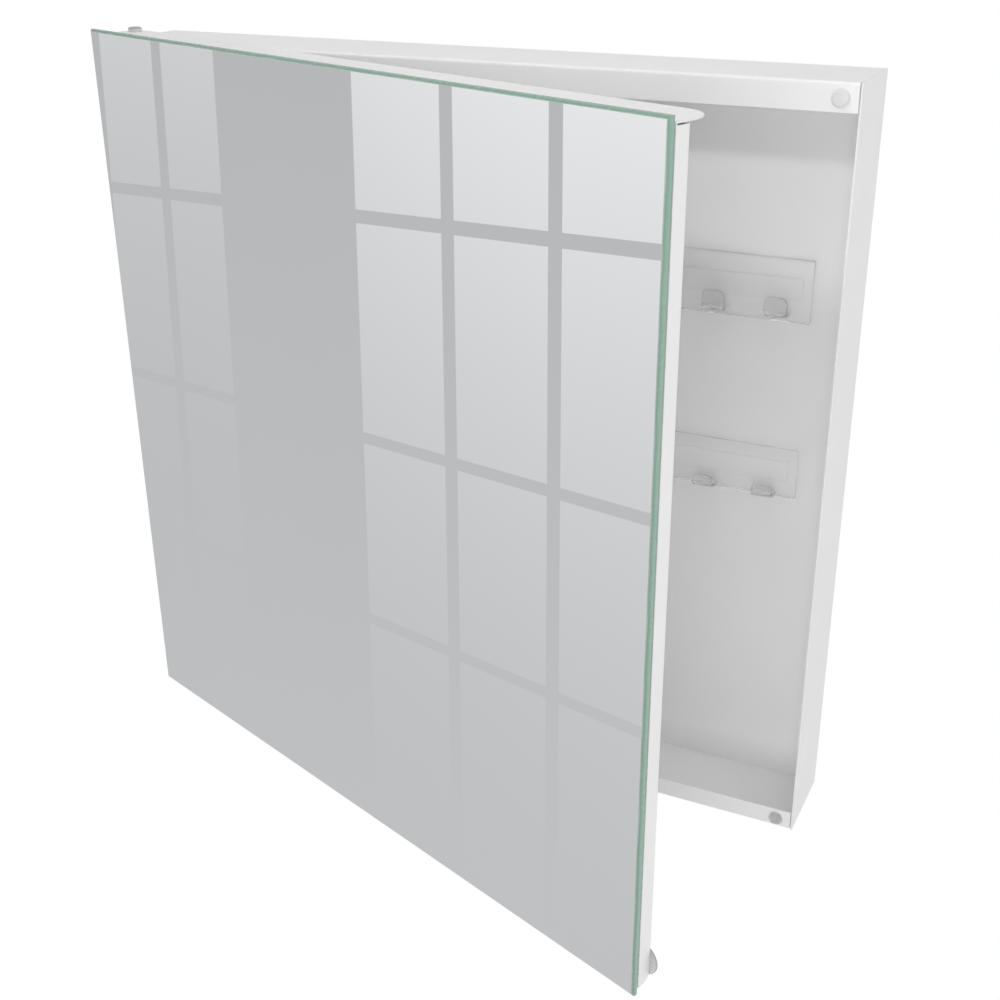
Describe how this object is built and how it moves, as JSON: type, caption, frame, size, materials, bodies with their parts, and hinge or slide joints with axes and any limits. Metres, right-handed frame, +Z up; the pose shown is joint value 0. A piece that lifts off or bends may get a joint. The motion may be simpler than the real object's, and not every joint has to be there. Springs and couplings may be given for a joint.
{
  "type": "medicine cabinet",
  "caption": "Shallow wall-hung white steel bathroom cabinet with a mirror door on left pin hinges, a magnet catch and clear hook strips inside.",
  "frame": {"origin": "middle of the two wall-screw holes, on the back face that lies against the wall", "axes": "+X to the viewer's right along the cabinet's width, +Y into the wall, +Z up"},
  "size_m": [0.6283, 0.3002, 0.617],
  "materials": {
    "white_paint": "satin white powder coat on sheet steel",
    "tray_paint": "satin white powder coat on sheet steel",
    "nylon": "natural nylon",
    "pin_steel": "bright plated steel",
    "clip_steel": "spring steel",
    "cup_steel": "nickel-plated steel",
    "magnet": "plated magnet",
    "disc_steel": "fine brushed steel",
    "bumper_rubber": "soft pale rubber",
    "mirror_glass": "silvered float glass with polished edges",
    "film": "safety film",
    "mirror_tape": "foam tape",
    "clear_plastic": "clear moulded plastic",
    "clear_tape": "clear double-sided tape"
  },
  "bodies": {
    "cabinet": {"back_panel": "white_paint", "side_left": "white_paint", "side_right": "white_paint", "top_panel": "white_paint", "bottom_panel": "white_paint", "hang_plates": "white_paint", "hinge_plate_upper": "white_paint", "hinge_plate_lower": "white_paint", "bush_upper": "nylon", "bush_lower": "nylon", "bumper": "bumper_rubber", "magnet_cup": "cup_steel", "magnet_core": "magnet", "hook_strip_upper": "clear_plastic", "hook_strip_lower": "clear_plastic", "strip_tape_upper": "clear_tape", "strip_tape_lower": "clear_tape"},
    "door": {"door_tray": "tray_paint", "mirror_glass": "mirror_glass", "mirror_film": "film", "glass_tapes": "mirror_tape", "grip_disc": "disc_steel", "disc_rivet": "disc_steel", "pin_upper": "pin_steel", "pin_lower": "pin_steel", "clip_upper": "clip_steel", "clip_lower": "clip_steel"}
  },
  "joints": [
    {"name": "door_hinge", "type": "hinge", "parent": "cabinet", "child": "door", "pos_m": [-0.2995, -0.061, -0.278], "axis": [0, 0, -1], "range_deg": [-20, 90]}
  ]
}
